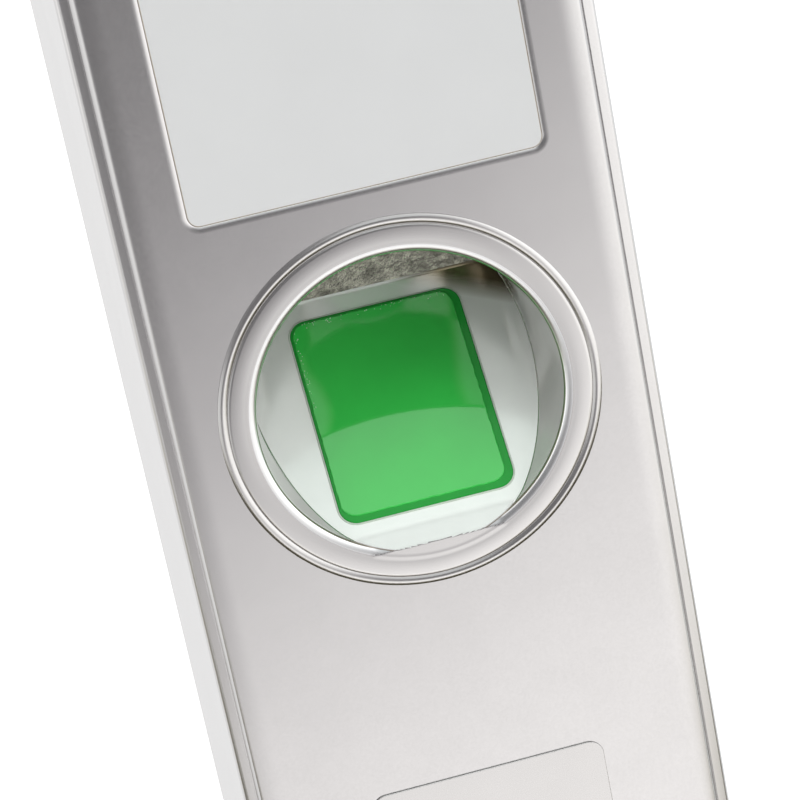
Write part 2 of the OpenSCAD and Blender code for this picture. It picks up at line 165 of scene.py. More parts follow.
class Outline:
    """Rounded rectangle with steps in each corner; a circle where its sides are twice its corner radius."""

    def __init__(self, x, z, width, height, radius, steps):
        self.x, self.z = x, z
        self.half_w, self.half_h = width / 2, height / 2
        self.radius = radius
        self.steps = steps
        self.round = abs(width - 2 * radius) < 1e-6 and abs(height - 2 * radius) < 1e-6

    def points(self, grow=0.0, radius=None):
        """The outline grown outward, anticlockwise from its right, with a new corner radius if given."""
        r = max(self.radius + grow, 0.05) if radius is None else radius
        half_w, half_h = self.half_w + grow, self.half_h + grow
        corners = [(1, 1), (-1, 1), (-1, -1), (1, -1)]
        count = self.steps if self.round else self.steps + 1
        result = []
        for k, (side_x, side_z) in enumerate(corners):
            centre_x = self.x + side_x * (half_w - r)
            centre_z = self.z + side_z * (half_h - r)
            for i in range(count):
                a = math.pi / 2 * (k + i / self.steps)
                result.append((centre_x + r * math.cos(a), centre_z + r * math.sin(a)))
        return result


def disc(x, z, radius, steps):
    """Circle whose quarters have this many steps."""
    return Outline(x, z, 2 * radius, 2 * radius, radius, steps)


def add_loop(bm, points):
    """New vertices at the points."""
    return [bm.verts.new(p) for p in points]


def bridge(bm, a, b, slot=0):
    """Closed band of smooth quads between two loops that have as many points."""
    for i in range(len(a)):
        j = (i + 1) % len(a)
        face = bm.faces.new((a[i], a[j], b[j], b[i]))
        face.material_index = slot
        face.smooth = True


def sweep(bm, outline, profile, place=front, slot=0):
    """Bands along a profile of (growth, level) or (growth, level, corner radius).

    Returns the first and the last loop.
    """
    loops = []
    for grow, level, *corner in profile:
        points = outline.points(grow, *corner)
        loops.append(add_loop(bm, [place(p, q, level) for p, q in points]))
    for a, b in zip(loops, loops[1:]):
        bridge(bm, a, b, slot)
    return loops[0], loops[-1]


def loop_edges(bm, loop):
    """Edges round a loop, made where they don't exist yet."""
    edges = []
    for i, vert in enumerate(loop):
        other = loop[(i + 1) % len(loop)]
        edges.append(bm.edges.get((vert, other)) or bm.edges.new((vert, other)))
    return edges


def fill(bm, loops, slot=0, smooth=False):
    """Flat face bounded by the first loop, with the other loops as holes."""
    edges = []
    for loop in loops:
        edges += loop_edges(bm, loop)
    made = bmesh.ops.triangle_fill(bm, use_beauty=True, use_dissolve=False, edges=edges)
    for item in made["geom"]:
        if isinstance(item, bmesh.types.BMFace):
            item.material_index = slot
            item.smooth = smooth


def quarter(radius, level, outward=1, steps=5):
    """Round edge of a face at level, as a profile that ends at growth 0, a radius behind the face.

    outward is 1 for an outer edge and -1 for the edge of a hole.
    """
    points = []
    for i in range(steps + 1):
        a = math.pi / 2 * i / steps
        points.append((-outward * radius * (1 - math.sin(a)), level + radius * (1 - math.cos(a))))
    return points


def arc(centre_grow, centre_level, radius, start, stop, steps):
    """Profile points on a round edge; angles in degrees, 0 grows outward and 90 goes back."""
    points = []
    for i in range(steps + 1):
        a = math.radians(start + (stop - start) * i / steps)
        points.append((centre_grow + radius * math.cos(a), centre_level + radius * math.sin(a)))
    return points


def mirrored(profile, y_front, y_back):
    """The profile of a front edge turned into that of the back edge."""
    return [(grow, y_back - (level - y_front)) for grow, level in reversed(profile)]


def slab(bm, outer, holes, y_front, y_back, edge, back_edge=0.1, hole_edge=0.05, side=0):
    """Closed slab with rounded edges and round-edged holes; its outer edge has the material slot side."""
    profile = quarter(edge, y_front) + mirrored(quarter(back_edge, y_front), y_front, y_back)
    top, bottom = sweep(bm, outer, profile, slot=side)
    tops, bottoms = [top], [bottom]
    for hole in holes:
        rim = quarter(hole_edge, y_front, -1)
        top, bottom = sweep(bm, hole, rim + mirrored(rim, y_front, y_back))
        tops.append(top)
        bottoms.append(bottom)
    fill(bm, tops)
    fill(bm, bottoms)


def add_piece(bm, name, body, materials, node):
    """Turns the mesh in millimetres into a piece of the object that stands for a CAD node."""
    bmesh.ops.remove_doubles(bm, verts=bm.verts, dist=1e-5)
    bmesh.ops.dissolve_degenerate(bm, edges=bm.edges, dist=1e-5)
    bmesh.ops.recalc_face_normals(bm, faces=bm.faces)
    for edge in bm.edges:
        if len(edge.link_faces) == 2 and edge.calc_face_angle(0) > SHARP:
            edge.smooth = False
    bmesh.ops.scale(bm, vec=(MM, MM, MM), verts=bm.verts)
    mesh = bpy.data.meshes.new(name)
    bm.to_mesh(mesh)
    bm.free()
    for m in materials:
        mesh.materials.append(m)
    piece = bpy.data.objects.new(name, mesh)
    bpy.context.scene.collection.objects.link(piece)
    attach(piece, body)
    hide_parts(node)


# ---------------------------------------------------------------- camera and studio

def add_camera():
    """Camera at the photo's viewpoint, solved from the outlines of the plate, panel, ring and glass."""
    right = Vector((0.96460, -0.18482, -0.18810))
    up = Vector((0.23877, 0.30936, 0.92048))
    forward = Vector((0.11193, 0.93281, -0.34254))
    data = bpy.data.cameras.new("camera")
    data.sensor_width = 36
    data.lens = 122.3
    data.clip_start = 0.01
    camera = bpy.data.objects.new("camera", data)
    matrix = Matrix((right, up, -forward)).transposed().to_4x4()
    matrix.translation = Vector((-31.203, -288.452, 79.673)) * MM
    camera.matrix_world = matrix
    bpy.context.scene.collection.objects.link(camera)
    bpy.context.scene.camera = camera


def direction(azimuth, elevation):
    """Unit vector towards a place in the studio: azimuth 0 is straight in front, 90 is to the right."""
    a, e = math.radians(azimuth), math.radians(elevation)
    return Vector((math.sin(a) * math.cos(e), -math.cos(a) * math.cos(e), math.sin(e)))


# Radiance that the camera sees behind the object
BACKDROP = 1.05

# Lit and dark parts of the studio that the object mirrors, each painted over the ones before it; the first
# is everywhere. Name, azimuth, elevation, angle where it starts to fade, angle where it ends, radiance, tint
STUDIO = [
    ("surround", 180, 0, 179, 180, 1.05, (1, 1, 1)),
    ("left_and_behind", -115, 12, 42, 64, 1.40, (1, 0.99, 0.98)),
    ("below", 0, -90, 62, 75, 0.09, (1, 0.90, 0.62)),
    ("behind_left", -135, -12, 46, 60, 1.02, (1, 1, 1)),
    ("behind_right", 128, -14, 34, 48, 1.05, (0.97, 0.99, 1)),
    ("table", 3, -28, 16, 27, 1.42, (1, 0.985, 0.975)),
    ("front_dark", -12, 11.5, 27, 44, 0.18, (1, 0.97, 1)),
    ("left_softbox", -36, -14, 8, 18, 0.90, (1, 1, 1)),
    ("right_softbox", 43, -9, 18, 27, 1.40, (1, 0.99, 0.975)),
    ("right_high", 66, 14, 20, 34, 1.60, (1, 1, 1)),
    ("front_high", 8, 24, 9, 17, 0.80, (0.97, 1, 1)),
    ("overhead", 6, 65, 10, 24, 1.80, (0.96, 1, 0.98)),
]


def blended(tree, share, before, after, data_type):
    """Paints one value or colour over another where share is 1."""
    blend = tree.nodes.new("ShaderNodeMix")
    blend.data_type = data_type
    tree.links.new(share, blend.inputs["Factor"])
    tree.links.new(before, blend.inputs["A"])
    blend.inputs["B"].default_value = after
    return blend.outputs["Result"]


def add_world():
    """Studio light as a painted sky, with a plain backdrop where the camera looks past the object."""
    world = bpy.data.worlds.new("studio")
    bpy.context.scene.world = world
    world.use_nodes = True
    tree = world.node_tree
    tree.nodes.clear()
    coords = tree.nodes.new("ShaderNodeTexCoord")
    first_level = tree.nodes.new("ShaderNodeValue")
    first_level.outputs[0].default_value = STUDIO[0][5]
    first_tint = tree.nodes.new("ShaderNodeRGB")
    first_tint.outputs[0].default_value = (*STUDIO[0][6], 1)
    level, tint = first_level.outputs[0], first_tint.outputs[0]
    for name, azimuth, elevation, full, end, radiance, colour in STUDIO[1:]:
        facing = tree.nodes.new("ShaderNodeVectorMath")
        facing.label = name
        facing.operation = "DOT_PRODUCT"
        facing.inputs[1].default_value = direction(azimuth, elevation)
        tree.links.new(coords.outputs["Generated"], facing.inputs[0])
        share = tree.nodes.new("ShaderNodeMapRange")
        share.interpolation_type = "SMOOTHSTEP"
        share.inputs["From Min"].default_value = math.cos(math.radians(end))
        share.inputs["From Max"].default_value = math.cos(math.radians(full))
        tree.links.new(facing.outputs["Value"], share.inputs["Value"])
        level = blended(tree, share.outputs["Result"], level, radiance, "FLOAT")
        tint = blended(tree, share.outputs["Result"], tint, (*colour, 1), "RGBA")
    lit = tree.nodes.new("ShaderNodeBackground")
    tree.links.new(tint, lit.inputs["Color"])
    tree.links.new(level, lit.inputs["Strength"])
    backdrop = tree.nodes.new("ShaderNodeBackground")
    backdrop.inputs["Color"].default_value = (1, 1, 1, 1)
    backdrop.inputs["Strength"].default_value = BACKDROP
    rays = tree.nodes.new("ShaderNodeLightPath")
    either = tree.nodes.new("ShaderNodeMixShader")
    tree.links.new(rays.outputs["Is Camera Ray"], either.inputs["Fac"])
    tree.links.new(lit.outputs["Background"], either.inputs[1])
    tree.links.new(backdrop.outputs["Background"], either.inputs[2])
    output = tree.nodes.new("ShaderNodeOutputWorld")
    tree.links.new(either.outputs["Shader"], output.inputs["Surface"])


def add_floor():
    """Pale round floor that the terminal stands on."""
    radius = 700
    sides = 96
    rim = []
    for i in range(sides):
        a = math.tau * i / sides
        rim.append(Vector((radius * math.cos(a), radius * math.sin(a), COVER.low.z)) * MM)
    bm = bmesh.new()
    bm.faces.new(add_loop(bm, rim))
    mesh = bpy.data.meshes.new("floor")
    bm.to_mesh(mesh)
    bm.free()
    floor = bpy.data.objects.new("floor", mesh)
    bpy.context.scene.collection.objects.link(floor)
    m = new_material("pale_floor")
    shader = m.node_tree.nodes["Principled BSDF"]
    shader.inputs["Base Color"].default_value = (0.8, 0.8, 0.8, 1)
    shader.inputs["Roughness"].default_value = 0.9
    shader.inputs["Emission Color"].default_value = (1, 1, 1, 1)
    shader.inputs["Emission Strength"].default_value = 0.45
    mesh.materials.append(m)
    floor.visible_glossy = False


# ---------------------------------------------------------------- materials

def new_material(name):
    """Material with a Principled shader."""
    m = bpy.data.materials.new(name)
    m.use_nodes = True
    return m


def noise_texture(tree, width, detail, stretch):
    """Noise whose blotches are about this wide, times the stretch along each axis."""
    coords = tree.nodes.new("ShaderNodeTexCoord")
    mapping = tree.nodes.new("ShaderNodeMapping")
    mapping.inputs["Scale"].default_value = [1 / (s * width * MM) for s in stretch]
    tree.links.new(coords.outputs["Object"], mapping.inputs["Vector"])
    texture = tree.nodes.new("ShaderNodeTexNoise")
    texture.inputs["Scale"].default_value = 1.0
    texture.inputs["Detail"].default_value = detail
    tree.links.new(mapping.outputs["Vector"], texture.inputs["Vector"])
    return texture


def map_range(tree, value, low, high, to_low, to_high):
    """Value scaled from one range to another and kept inside it."""
    node = tree.nodes.new("ShaderNodeMapRange")
    node.inputs["From Min"].default_value = low
    node.inputs["From Max"].default_value = high
    node.inputs["To Min"].default_value = to_low
    node.inputs["To Max"].default_value = to_high
    tree.links.new(value, node.inputs["Value"])
    return node.outputs["Result"]


# Values between which most of a noise texture lies
NOISE_RANGE = (0.3, 0.7)


def surface(name, colour, roughness, metallic, grain, grain_depth, cloud, shade, rough_vary,
            stretch=(1, 1, 1), ior=1.5):
    """Procedural finish: fine grain in the bump and the roughness, and soft clouds in the colour."""
    m = new_material(name)
    tree = m.node_tree
    shader = tree.nodes["Principled BSDF"]
    shader.inputs["Metallic"].default_value = metallic
    shader.inputs["IOR"].default_value = ior
    clouds = noise_texture(tree, cloud, 3.0, stretch)
    mix = tree.nodes.new("ShaderNodeMix")
    mix.data_type = "RGBA"
    low = [c * (1 - shade) for c in colour]
    high = [min(c * (1 + shade), 1) for c in colour]
    mix.inputs["A"].default_value = (*low, 1)
    mix.inputs["B"].default_value = (*high, 1)
    tree.links.new(map_range(tree, clouds.outputs["Fac"], *NOISE_RANGE, 0, 1), mix.inputs["Factor"])
    tree.links.new(mix.outputs["Result"], shader.inputs["Base Color"])
    fine = noise_texture(tree, grain, 4.0, stretch)
    smoothest, roughest = roughness - rough_vary, roughness + rough_vary
    rough = map_range(tree, fine.outputs["Fac"], *NOISE_RANGE, smoothest, roughest)
    tree.links.new(rough, shader.inputs["Roughness"])
    bump = tree.nodes.new("ShaderNodeBump")
    bump.inputs["Strength"].default_value = 1.0
    bump.inputs["Distance"].default_value = grain_depth * MM
    tree.links.new(fine.outputs["Fac"], bump.inputs["Height"])
    tree.links.new(bump.outputs["Normal"], shader.inputs["Normal"])
    return m


# The finger well's floor is pale and hardly metallic, and a painted dark reflection turns it into brown
# metal at its upper right
DARK_REFLECTION_LEAN = 0.35
DARK_REFLECTION_START = RING_Z + 7.5
DARK_REFLECTION_END = RING_Z + 9.5
DARK_REFLECTION_COLOUR = (0.33, 0.30, 0.20, 1)
PALE_METALLIC = 0.15


def paint_dark_reflection(m):
    """Paints a dark reflection on a pale surface, as brown metal towards the upper right of the finger well.
    """
    tree = m.node_tree
    shader = tree.nodes["Principled BSDF"]
    coords = tree.nodes.new("ShaderNodeTexCoord")
    along = tree.nodes.new("ShaderNodeVectorMath")
    along.operation = "DOT_PRODUCT"
    along.inputs[1].default_value = (DARK_REFLECTION_LEAN / MM, 0, 1 / MM)
    tree.links.new(coords.outputs["Object"], along.inputs[0])
    share = map_range(tree, along.outputs["Value"], DARK_REFLECTION_START, DARK_REFLECTION_END, 0, 1)
    tint = tree.nodes.new("ShaderNodeMix")
    tint.data_type = "RGBA"
    tree.links.new(share, tint.inputs["Factor"])
    tree.links.new(shader.inputs["Base Color"].links[0].from_socket, tint.inputs["A"])
    tint.inputs["B"].default_value = DARK_REFLECTION_COLOUR
    tree.links.new(tint.outputs["Result"], shader.inputs["Base Color"])
    tree.links.new(map_range(tree, share, 0, 1, PALE_METALLIC, 1.0), shader.inputs["Metallic"])


# Finishes: name, colour, roughness, metallic, grain's width and depth, clouds' width, how much the
# colour varies, how much the roughness varies
SATIN = surface("satin_nickel", (0.68, 0.67, 0.67), 0.25, 1.0, 0.22, 0.0010, 5.0, 0.014, 0.02)
SATIN_RING = surface("satin_ring", (0.70, 0.69, 0.685), 0.24, 1.0, 0.25, 0.0004, 5.0, 0.012, 0.01)
POLISHED = surface("polished_well", (0.74, 0.72, 0.715), 0.055, 1.0, 0.5, 0.0006, 2.5, 0.03, 0.01)
# The well's lip is one metal in two painted tones: lighter as a painted highlight on its roll, darker as
# painted shade where it turns into the bore
LIP_HIGHLIGHT = surface("well_lip_painted_highlight", (0.90, 0.91, 0.915), 0.30, 1.0, 0.4, 0.0004, 3.0, 0.02, 0.01)
LIP_SHADE = surface("well_lip_painted_shade", (0.40, 0.35, 0.30), 0.42, 1.0, 0.4, 0.0004, 3.0, 0.05, 0.02)
# Painted green tint in the well floor's colour, standing in for light from the green glass
WELL_FLOOR = surface("well_floor", (0.82, 0.87, 0.83), 0.17, 1.0, 0.5, 0.0004, 3.0, 0.02, 0.01)
# Painted dark reflection at the well floor's upper right
paint_dark_reflection(WELL_FLOOR)
CAST = surface("rough_cast", (0.26, 0.265, 0.22), 0.12, 1.0, 0.55, 0.26, 1.2, 0.45, 0.04)
PANEL_PLASTIC = surface("panel_plastic", (0.655, 0.66, 0.66), 0.42, 0.0, 0.2, 0.002, 8.0, 0.01, 0.03)
PANEL_EDGE = surface("panel_edge", (0.50, 0.44, 0.37), 0.6, 0.0, 0.2, 0.002, 3.0, 0.05, 0.03)
LABEL_METAL = surface("label_silver", (0.685, 0.675, 0.67), 0.27, 1.0, 0.15, 0.0006, 4.0, 0.01, 0.01)
TAPE = surface("adhesive_tape", (0.42, 0.34, 0.26), 0.8, 0.0, 0.2, 0.02, 3.0, 0.1, 0.05)
CLEAR = surface("light_guide", (0.82, 0.83, 0.85), 0.12, 0.0, 0.4, 0.001, 2.0, 0.02, 0.03)
GREEN = surface("green_glass", (0.020, 0.36, 0.048), 0.12, 0.0, 0.6, 0.0008, 6.0, 0.04, 0.015, ior=1.25)
GREEN_FILM = surface("green_film", (0.042, 0.60, 0.085), 0.035, 0.0, 0.6, 0.0006, 6.0, 0.04, 0.01, ior=1.6)
SEALANT = surface("clear_sealant", (0.55, 0.66, 0.55), 0.18, 0.0, 0.4, 0.003, 1.5, 0.08, 0.03)
BUBBLE = surface("film_bubble", (0.62, 0.85, 0.64), 0.2, 0.0, 0.3, 0.0004, 1.0, 0.05, 0.03)
RUBBER = surface("black_rubber", (0.022, 0.022, 0.023), 0.7, 0.0, 0.15, 0.02, 4.0, 0.2, 0.08)
BLACK = surface("black_plastic", (0.028, 0.028, 0.031), 0.5, 0.0, 0.25, 0.02, 5.0, 0.12, 0.06)
BOARD = surface("solder_mask", (0.012, 0.12, 0.045), 0.35, 0.0, 1.2, 0.02, 4.0, 0.25, 0.06)
COPPER = surface("printed_copper", (0.72, 0.40, 0.22), 0.35, 1.0, 0.2, 0.004, 2.0, 0.08, 0.06)
CHIP = surface("chip_epoxy", (0.02, 0.02, 0.022), 0.55, 0.0, 0.12, 0.01, 3.0, 0.2, 0.05)
IVORY = surface("ivory_plastic", (0.72, 0.67, 0.55), 0.45, 0.0, 0.3, 0.006, 3.0, 0.04, 0.05)
BLUE = surface("relay_blue", (0.03, 0.12, 0.45), 0.4, 0.0, 0.3, 0.006, 4.0, 0.08, 0.05)
TERMINAL = surface("terminal_green", (0.04, 0.32, 0.11), 0.45, 0.0, 0.3, 0.006, 4.0, 0.08, 0.05)
RED = surface("plunger_red", (0.50, 0.03, 0.03), 0.4, 0.0, 0.3, 0.006, 2.0, 0.08, 0.05)
AMBER = surface("amber_film", (0.55, 0.22, 0.04), 0.25, 0.0, 0.8, 0.004, 3.0, 0.1, 0.04)
STEEL = surface("zinc_steel", (0.58, 0.575, 0.56), 0.28, 1.0, 0.3, 0.004, 3.0, 0.08, 0.07)
PRESSED = surface("pressed_steel", (0.60, 0.595, 0.575), 0.33, 1.0, 0.35, 0.004, 14.0, 0.06, 0.07, (1, 1, 9))
CAN = surface("drawn_can", (0.55, 0.56, 0.58), 0.3, 1.0, 0.3, 0.003, 3.0, 0.05, 0.05)
LED = surface("led_lens", (0.75, 0.78, 0.5), 0.2, 0.0, 0.3, 0.002, 1.0, 0.05, 0.04)


# ---------------------------------------------------------------- front cover

def cover_corner_r(grow):
    """Corner radius of the cover's outline, which grows with the step and half as fast on the walls."""
    at_step = PLATE_R + min(grow, STEP_W) * 0.97
    return max(at_step + max(grow - STEP_W, 0) * 0.5, 0.8)


def cover_profile():
    """Crowned plate, shoulder, seam, flange, leaning wall, rear rim and inside, as (growth, level)."""
    profile = []
    crown_steps = 10
    for i in range(crown_steps + 1):
        t = i / crown_steps
        profile.append((CROWN_W * (t - 1), PLATE_Y + CROWN_DROP * t ** CROWN_POWER))
    # Shoulder with a soft top and foot
    profile += [(0.05, SHOULDER_TOP + 0.02), (0.10, SHOULDER_TOP + 0.06)]
    profile += [(SHOULDER_FOOT - 0.05, STEP_Y - 0.08), (SHOULDER_FOOT, STEP_Y - 0.02)]
    # Seam between the shoulder's foot and the flange
    seam_end = SHOULDER_FOOT + SEAM_W
    profile += [(SHOULDER_FOOT, STEP_Y + SEAM_D), (seam_end, STEP_Y + SEAM_D)]
    profile += [(seam_end, STEP_Y + 0.02), (seam_end + 0.04, STEP_Y)]
    # Flange's round edge, rear rim, and inside
    profile += arc(STEP_W - EDGE_R, STEP_Y + EDGE_FALL + EDGE_R, EDGE_R, -86, 0, 6)
    profile += arc(STEP_W + SIDE_LEAN - REAR_R, -REAR_R, REAR_R, 0, 90, 4)
    inner_wall = STEP_W + SIDE_LEAN - COVER_T
    profile += [(inner_wall + 0.1, 0), (inner_wall, -0.1), (STEP_W - COVER_T, INNER_Y)]
    return profile


def panel_opening_profile():
    """Softly rolled edge of the panel's recess, and the window in its floor."""
    roll_steps = 8
    profile = []
    for i in range(roll_steps + 1):
        a = math.pi / 2 * i / roll_steps
        profile.append((ROLL_W * (1 - math.sin(a)), PLATE_Y + ROLL_D * (1 - math.cos(a))))
    recess_y = PLATE_Y + RECESS_D
    ledge_w = 1.3
    return profile + [(0, recess_y), (-ledge_w, recess_y), (-ledge_w, INNER_Y)]


def ring_opening_profile(seat_r):
    """Seat of the ring's flange, and the wider hole for its tube behind it."""
    seat_y = RING_Y + FLANGE_T + 0.01
    neck = TUBE_R + 0.2 - seat_r
    return quarter(0.05, PLATE_Y, -1, 3) + [(0, seat_y), (neck, seat_y), (neck, INNER_Y)]


def front_cover():
    """Cast shell with openings for the panel and the ring, and a pocket for the label."""
    bm = bmesh.new()
    outer = Outline(0, 0, PLATE_W, PLATE_H, PLATE_R, 12)
    rim, inside = sweep(bm, outer, [(g, y, cover_corner_r(g)) for g, y in cover_profile()])
    panel = Outline(0, PANEL.centre.z, PANEL.size.x + GAP, PANEL.size.z + GAP, PANEL_R + GAP / 2, 8)
    panel_top, panel_back = sweep(bm, panel, panel_opening_profile())
    seat = disc(0, RING_Z, RING_R - 0.04, 48)
    seat_top, seat_back = sweep(bm, seat, ring_opening_profile(seat.radius))
    label = Outline(0, LABEL.centre.z, LABEL.size.x + GAP, LABEL.size.z + GAP, LABEL_R + GAP / 2, 8)
    pocket = quarter(0.03, PLATE_Y, -1, 2) + [(0, PLATE_Y + LABEL_D)]
    label_top, label_floor = sweep(bm, label, pocket)
    fill(bm, [rim, panel_top, seat_top, label_top])
    fill(bm, [inside, panel_back, seat_back])
    fill(bm, [label_floor])
    add_piece(bm, "front_cover_shell", "housing", [SATIN], "front_cover")


# ---------------------------------------------------------------- finger guide

def smooth_min(a, b, k):
    """The smaller of two values, rounded where they are less than k apart."""
    h = max(k - abs(a - b), 0) / k
    return min(a, b) - h * h * k / 4


def smooth_max(a, b, k):
    """The larger of two values, rounded where they are less than k apart."""
    return -smooth_min(-a, -b, k)


def plane_depth(y, h):
    """Depth, at y above the ring's centre, of the plane at height h in the glass's frame."""
    point = on_glass(0, 0, h)
    return point.y - RING_Y + (y - (point.z - RING_Z)) * SLOPE


def plane_height(depth, h):
    """Height y above the ring's centre at which that plane is at a depth."""
    return (depth - plane_depth(0, h)) / SLOPE


def well_depth(y):
    """Depth of the hollow's bottom: bevel, sloping floor and flat back."""
    bottom = smooth_max(plane_depth(y, FLOOR_H), (y + CHORD_DROP) * BEVEL_SLOPE, BEVEL_BLEND)
    return smooth_min(bottom, WELL_D, BACK_BLEND)


def cut_depth(radius, angle):
    """Depth of the hollow's bottom at a place round the ring, no less than the land's."""
    return max(well_depth(radius * math.sin(angle)), LAND_CROWN)


def back_depth(y):
    """Depth of the guide's back, which follows the floor."""
    return min(max(plane_depth(y, FLOOR_H - WALL_T), FLANGE_T), WELL_D + WALL_T)


def bore_radius(depth):
    """Radius of the tapered bore at a depth."""
    share = min(max((TAPER_D - depth) / (TAPER_D - LIP_W), 0), 1)
    return BORE_R + (BORE_TOP_R - BORE_R) * share ** TAPER_POWER


# Heights at which the well's bottom bends, and the crease at the back of the guide
BEVEL_Y = (CHORD_DROP * BEVEL_SLOPE - plane_depth(0, FLOOR_H)) / (SLOPE - BEVEL_SLOPE)
BACK_Y = plane_height(WELL_D, FLOOR_H)
BEND_STEPS = (-1, -0.5, 0, 0.5, 1)
BEVEL_LEVELS = [BEVEL_Y + BEVEL_BLEND / (SLOPE - BEVEL_SLOPE) * t for t in BEND_STEPS]
BACK_LEVELS = [BACK_Y + BACK_BLEND / SLOPE * t for t in BEND_STEPS]
REAR_LEVELS = [plane_height(level, FLOOR_H - WALL_T) for level in (FLANGE_T, WELL_D + WALL_T)]

# Material slots of the finger guide
RING_SLOT, BORE_SLOT, CAST_SLOT, FLOOR_SLOT, LIP_HIGHLIGHT_SLOT, LIP_SHADE_SLOT, SEALANT_SLOT = range(7)


def ring_angles(count=300):
    """Angles round the ring, with those at which the bottoms' creases cross their rims."""
    right = [-math.pi / 2 + math.pi * i / count for i in range(count + 1)]
    special = [math.asin(y / (BORE_R - FILLET)) for y in BEVEL_LEVELS + BACK_LEVELS]
    special += [math.asin(y / TUBE_R) for y in REAR_LEVELS]
    gap = math.pi / count * 0.4
    right = [a for a in right if all(abs(a - s) > gap for s in special)] + special
    right.sort()
    left = [math.pi - a for a in reversed(right[1:-1])]
    return right + left


def ring_point(radius, angle, depth):
    """Point round the ring at a depth."""
    return Vector((radius * math.cos(angle), RING_Y + depth, RING_Z + radius * math.sin(angle)))


def outside_loops(bm, angles):
    """Outside of the guide: tube, flange, bead, groove and crowned land. Returns its two end loops."""
    rings = [(TUBE_R, FLANGE_T), (RING_R - 0.1, FLANGE_T), (RING_R, FLANGE_T - 0.1)]
    bead_steps = 16
    bead_mid = RING_R - BEAD_W
    for i in range(bead_steps + 1):
        t = 1 - 2 * i / bead_steps
        rings.append((bead_mid + BEAD_W * t, BEAD_H * t ** 2))
    groove = bead_mid - BEAD_W - 0.06
    rings += [(groove + 0.03, BEAD_H + 0.06), (groove, BEAD_H + 0.03), (groove - 0.05, 0.06)]
    land_steps = 8
    land_r = groove - 0.14
    for i in range(land_steps + 1):
        t = i / land_steps
        rings.append((land_r - (land_r - LIP_R) * t, LAND_CROWN * (1 - 2 * t) ** 2))
    end = [ring_point(TUBE_R, a, back_depth(TUBE_R * math.sin(a))) for a in angles]
    loops = [add_loop(bm, end)]
    for radius, depth in rings:
        loops.append(add_loop(bm, [ring_point(radius, a, depth) for a in angles]))
    for a, b in zip(loops, loops[1:]):
        bridge(bm, a, b, RING_SLOT)
    return loops[0], loops[-1]


def rolled_lip(bm, angles, previous):
    """Lip that rolls from the land into the bore, and runs out where the bevel reaches the land.

    Returns its last loop and that loop's depths.
    """
    steps = 12
    painted_shade_steps = 4
    for i in range(1, steps + 1):
        phi = math.pi / 2 * i / steps
        radius = LIP_R - LIP_W * math.sin(phi) ** LIP_POWER
        roll = LAND_CROWN + (LIP_DEPTH - LAND_CROWN) * (1 - math.cos(phi) ** LIP_POWER)
        depths = [max(smooth_min(roll, cut_depth(radius, a), 0.06), 0) for a in angles]
        current = add_loop(bm, [ring_point(radius, a, d) for a, d in zip(angles, depths)])
        # The lip's last steps carry the painted shade, the others the painted highlight
        bridge(bm, previous, current, LIP_SHADE_SLOT if i > steps - painted_shade_steps else LIP_HIGHLIGHT_SLOT)
        previous = current
    return previous, depths


def foot_depths(angles, tops):
    """Depths at which the bore's wall meets the round at its foot, found by repeated approach."""
    feet = []
    for a, top in zip(angles, tops):
        foot = top
        for _ in range(6):
            foot = max(well_depth(bore_radius(foot) * math.sin(a)) - FILLET, top)
        feet.append(foot)
    return feet


def bore_wall(bm, angles, previous, tops, feet):
    """Tapered wall of the bore."""
    steps = 12
    for i in range(1, steps + 1):
        depths = [top + (foot - top) * i / steps for top, foot in zip(tops, feet)]
        current = add_loop(bm, [ring_point(bore_radius(d), a, d) for a, d in zip(angles, depths)])
        bridge(bm, previous, current, BORE_SLOT)
        previous = current
    return previous


def bore_foot(bm, angles, previous, feet):
    """Small round between the bore's wall and the well's bottom."""
    steps = 3
    for i in range(1, steps + 1):
        t = i / steps
        points = []
        for a, foot in zip(angles, feet):
            wall_r = bore_radius(foot)
            start = ring_point(wall_r, a, foot)
            bend = ring_point(wall_r, a, cut_depth(wall_r, a))
            end = ring_point(wall_r - FILLET, a, cut_depth(wall_r - FILLET, a))
            points.append(start.lerp(bend, t).lerp(bend.lerp(end, t), t))
        current = add_loop(bm, points)
        bridge(bm, previous, current, BORE_SLOT if i < steps else FLOOR_SLOT)
        previous = current
    return previous


def floor_rim(bm, angles, previous, feet, inner_r):
    """Outer band of the well's bottom, from the round at the bore's foot in to a circle."""
    steps = 5
    for i in range(1, steps + 1):
        points = []
        for a, foot in zip(angles, feet):
            near_r = bore_radius(foot) - FILLET
            radius = near_r + (inner_r - near_r) * i / steps
            points.append(ring_point(radius, a, cut_depth(radius, a)))
        current = add_loop(bm, points)
        bridge(bm, previous, current, FLOOR_SLOT)
        previous = current
    return previous


def stepped_bottom(bm, rim, angles, radius, levels, window, window_band, slots):
    """Fills a ring's inside with bands that run across it, from level to level, one of them with a window.

    slots holds each band's material slot. The first and the last band are flat.
    """
    touch = 1e-4
    heights = [radius * math.sin(a) for a in angles]
    half = len([a for a in angles if a <= math.pi / 2 + 1e-9])
    right = list(range(half))
    left = [0] + list(range(len(angles) - 1, half - 2, -1))
    cuts = [-radius - 1] + list(levels) + [radius + 1]
    for band, (low, high) in enumerate(zip(cuts, cuts[1:])):
        up = [i for i in right if low - touch <= heights[i] <= high + touch]
        down = [i for i in left if low - touch <= heights[i] <= high + touch and i not in up]
        verts = [rim[i] for i in up] + [rim[i] for i in reversed(down)]
        if band == window_band:
            fill(bm, [verts, window], slots[band])
        else:
            face = bm.faces.new(verts)
            face.material_index = slots[band]
            face.smooth = 0 < band < len(cuts) - 2


